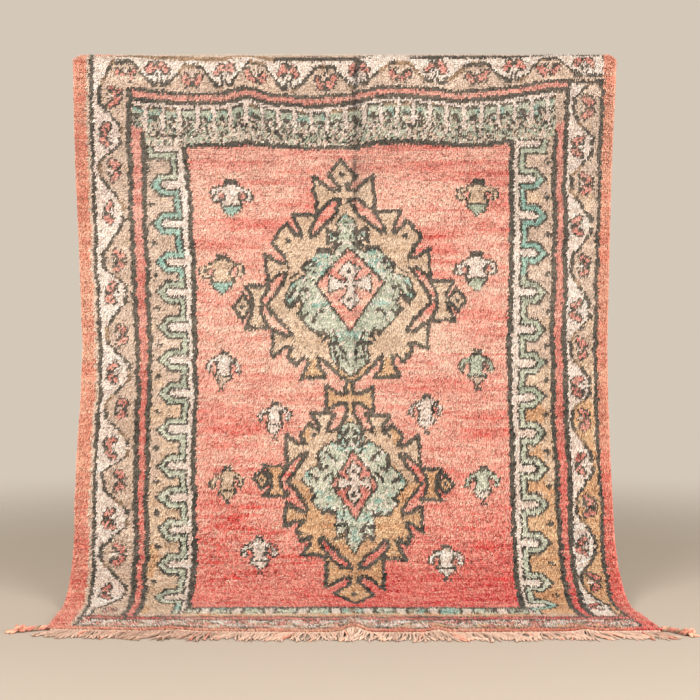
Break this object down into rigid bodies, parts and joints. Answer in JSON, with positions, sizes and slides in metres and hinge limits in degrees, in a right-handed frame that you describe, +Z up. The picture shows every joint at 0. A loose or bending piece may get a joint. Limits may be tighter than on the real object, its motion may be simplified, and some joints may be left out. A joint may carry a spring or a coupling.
{
  "type": "boujad rug",
  "caption": "Thick wool pile rug with a knotted geometric pattern, hung from its top edge, its lower end curving forward onto the floor, with a fringe and corner cords.",
  "frame": {"origin": "middle of the line that the rug hangs from, inside the fold at its top edge", "axes": "+X along the top edge, to the right as seen from the pile side; +Y away from the pile side, so the lower end runs towards -Y; +Z up"},
  "size_m": [1.9371, 0.666, 1.7432],
  "materials": {
    "pile_wool": "thick wool pile, matt, knotted in coral, crimson, cream, beige, charcoal and sage",
    "undyed_warp": "twisted undyed wool, matt",
    "edging_wool": "twisted salmon and brown wool, matt"
  },
  "bodies": {
    "root": {"rug": "pile_wool", "fringe": "undyed_warp", "corner_cord_left": "edging_wool", "corner_cord_right": "edging_wool"}
  },
  "joints": []
}
